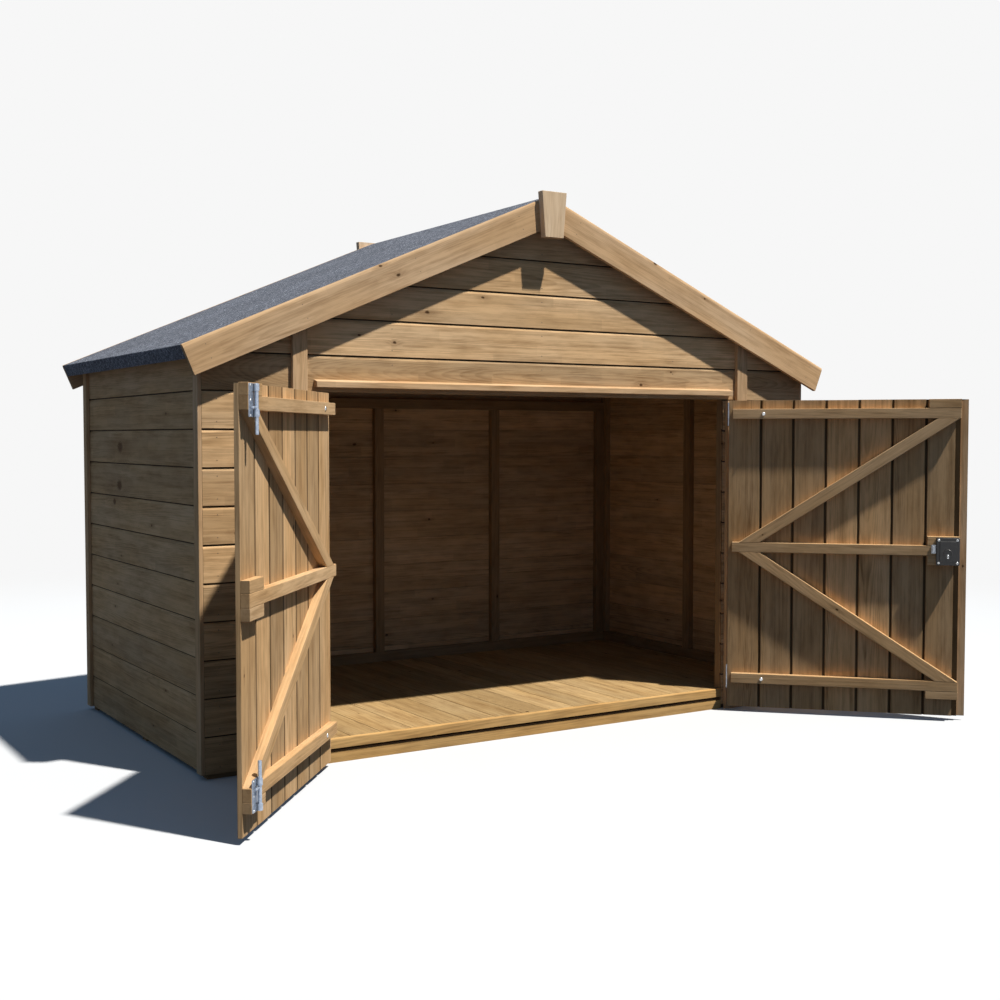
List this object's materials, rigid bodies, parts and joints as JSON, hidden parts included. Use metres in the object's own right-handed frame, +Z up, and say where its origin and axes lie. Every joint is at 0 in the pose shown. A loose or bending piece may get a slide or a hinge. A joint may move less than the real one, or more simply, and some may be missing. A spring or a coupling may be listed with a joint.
{
  "type": "timber bike shed",
  "caption": "Low gable-roofed timber bike shed with horizontal cladding, a boarded floor and ledged and braced double doors that stand open.",
  "frame": {"origin": "on the ground under the middle of the floor, at the centre of the middle bearer's lower face", "axes": "+X right along the door front, +Y from the front to the rear, +Z up"},
  "size_m": [3.0228, 2.1952, 2.008],
  "materials": {
    "cladding": "pressure-treated brown softwood, planed, satin",
    "door_boards": "pressure-treated brown softwood, planed, satin",
    "ledge_timber": "pressure-treated brown softwood, sawn edges eased",
    "trim": "pressure-treated brown softwood, planed, satin",
    "frame_timber": "pressure-treated brown softwood, sawn",
    "floor_timber": "pressure-treated brown softwood, planed",
    "mineral_felt": "blue-grey mineral roofing felt, rough",
    "zinc_steel": "galvanised",
    "grey_steel": "dull grey steel",
    "black_lock": "black satin paint"
  },
  "bodies": {
    "shed": {"floor_bearers": "floor_timber", "floor_joists": "floor_timber", "floor_deck": "floor_timber", "threshold_boards": "floor_timber", "left_wall_cladding": "cladding", "right_wall_cladding": "cladding", "front_wall_cladding": "cladding", "rear_wall_cladding": "cladding", "front_gable_cladding": "cladding", "rear_gable_cladding": "cladding", "wall_rails": "frame_timber", "wall_studs": "frame_timber", "door_posts": "frame_timber", "door_header": "frame_timber", "ridge_beam": "frame_timber", "gable_rafters": "frame_timber", "purlins": "frame_timber", "eave_battens": "frame_timber", "roof_boards_left": "frame_timber", "roof_boards_right": "frame_timber", "roof_felt_left": "mineral_felt", "roof_felt_right": "mineral_felt", "front_bargeboards": "trim", "rear_bargeboards": "trim", "front_keystone": "trim", "rear_keystone": "trim", "corner_trims": "trim", "door_side_trims": "trim", "door_jamb_boards": "trim", "door_drip_strip": "trim", "hinge_plates": "zinc_steel"},
    "left_door": {"left_door_boards": "door_boards", "left_door_ledges": "ledge_timber", "left_door_braces": "ledge_timber", "left_door_pads": "ledge_timber", "left_hinge_straps": "zinc_steel", "bolt_plates": "zinc_steel"},
    "right_door": {"right_door_boards": "door_boards", "right_door_ledges": "ledge_timber", "right_door_braces": "ledge_timber", "right_door_pads": "ledge_timber", "right_hinge_straps": "zinc_steel", "door_cover_strip": "trim", "door_lock": "black_lock", "lock_latch": "grey_steel", "keyhole_plate": "grey_steel"},
    "top_bolt": {"top_bolt": "zinc_steel"},
    "bottom_bolt": {"bottom_bolt": "zinc_steel"}
  },
  "joints": [
    {"name": "left_door_hinge", "type": "hinge", "parent": "shed", "child": "left_door", "pos_m": [-0.8975, -0.7105, 0.673], "axis": [0, 0, -1], "range_deg": [-130.4, 39.6]},
    {"name": "right_door_hinge", "type": "hinge", "parent": "shed", "child": "right_door", "pos_m": [0.8975, -0.7105, 0.673], "axis": [0, 0, 1], "range_deg": [-134.4, 35.6]},
    {"name": "top_bolt_slide", "type": "slide", "parent": "left_door", "child": "top_bolt", "axis": [0, 0, 1], "range_m": [0, 0.03]},
    {"name": "bottom_bolt_slide", "type": "slide", "parent": "left_door", "child": "bottom_bolt", "axis": [0, 0, -1], "range_m": [0, 0.03]}
  ]
}
